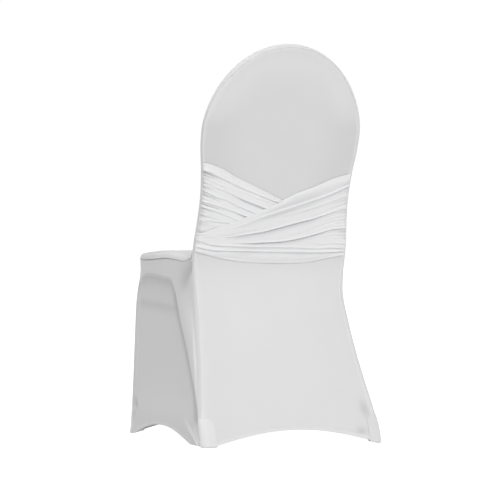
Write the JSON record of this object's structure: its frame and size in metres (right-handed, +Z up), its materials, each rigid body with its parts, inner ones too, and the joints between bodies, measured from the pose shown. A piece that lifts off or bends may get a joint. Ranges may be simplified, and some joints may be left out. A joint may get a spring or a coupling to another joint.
{
  "type": "chair cover with sash",
  "caption": "Fitted stretch cover for a round-topped banquet chair, with foot pockets, a scooped hem and a gathered sash crossed over the back.",
  "frame": {"origin": "on the floor, under the middle of the cover's footprint", "axes": "+Z up, -Y the way the sitter faces, +X to the left of somebody who stands behind the chair and looks at its back"},
  "size_m": [0.466, 0.5599, 0.9452],
  "materials": {
    "body_knit": "white stretch knit, smooth and matt with a faint sheen",
    "pocket_knit": "white stretch knit, doubled at the feet",
    "sash_knit": "finer bright white stretch knit, gathered"
  },
  "bodies": {
    "root": {"back_panel": "body_knit", "inner_back": "body_knit", "seat_panel": "body_knit", "front_skirt": "body_knit", "side_skirt_left": "body_knit", "side_skirt_right": "body_knit", "foot_pocket_rear_left": "pocket_knit", "foot_pocket_rear_right": "pocket_knit", "foot_pocket_front_left": "pocket_knit", "foot_pocket_front_right": "pocket_knit", "sash_under": "sash_knit", "sash_over": "sash_knit"}
  },
  "joints": []
}
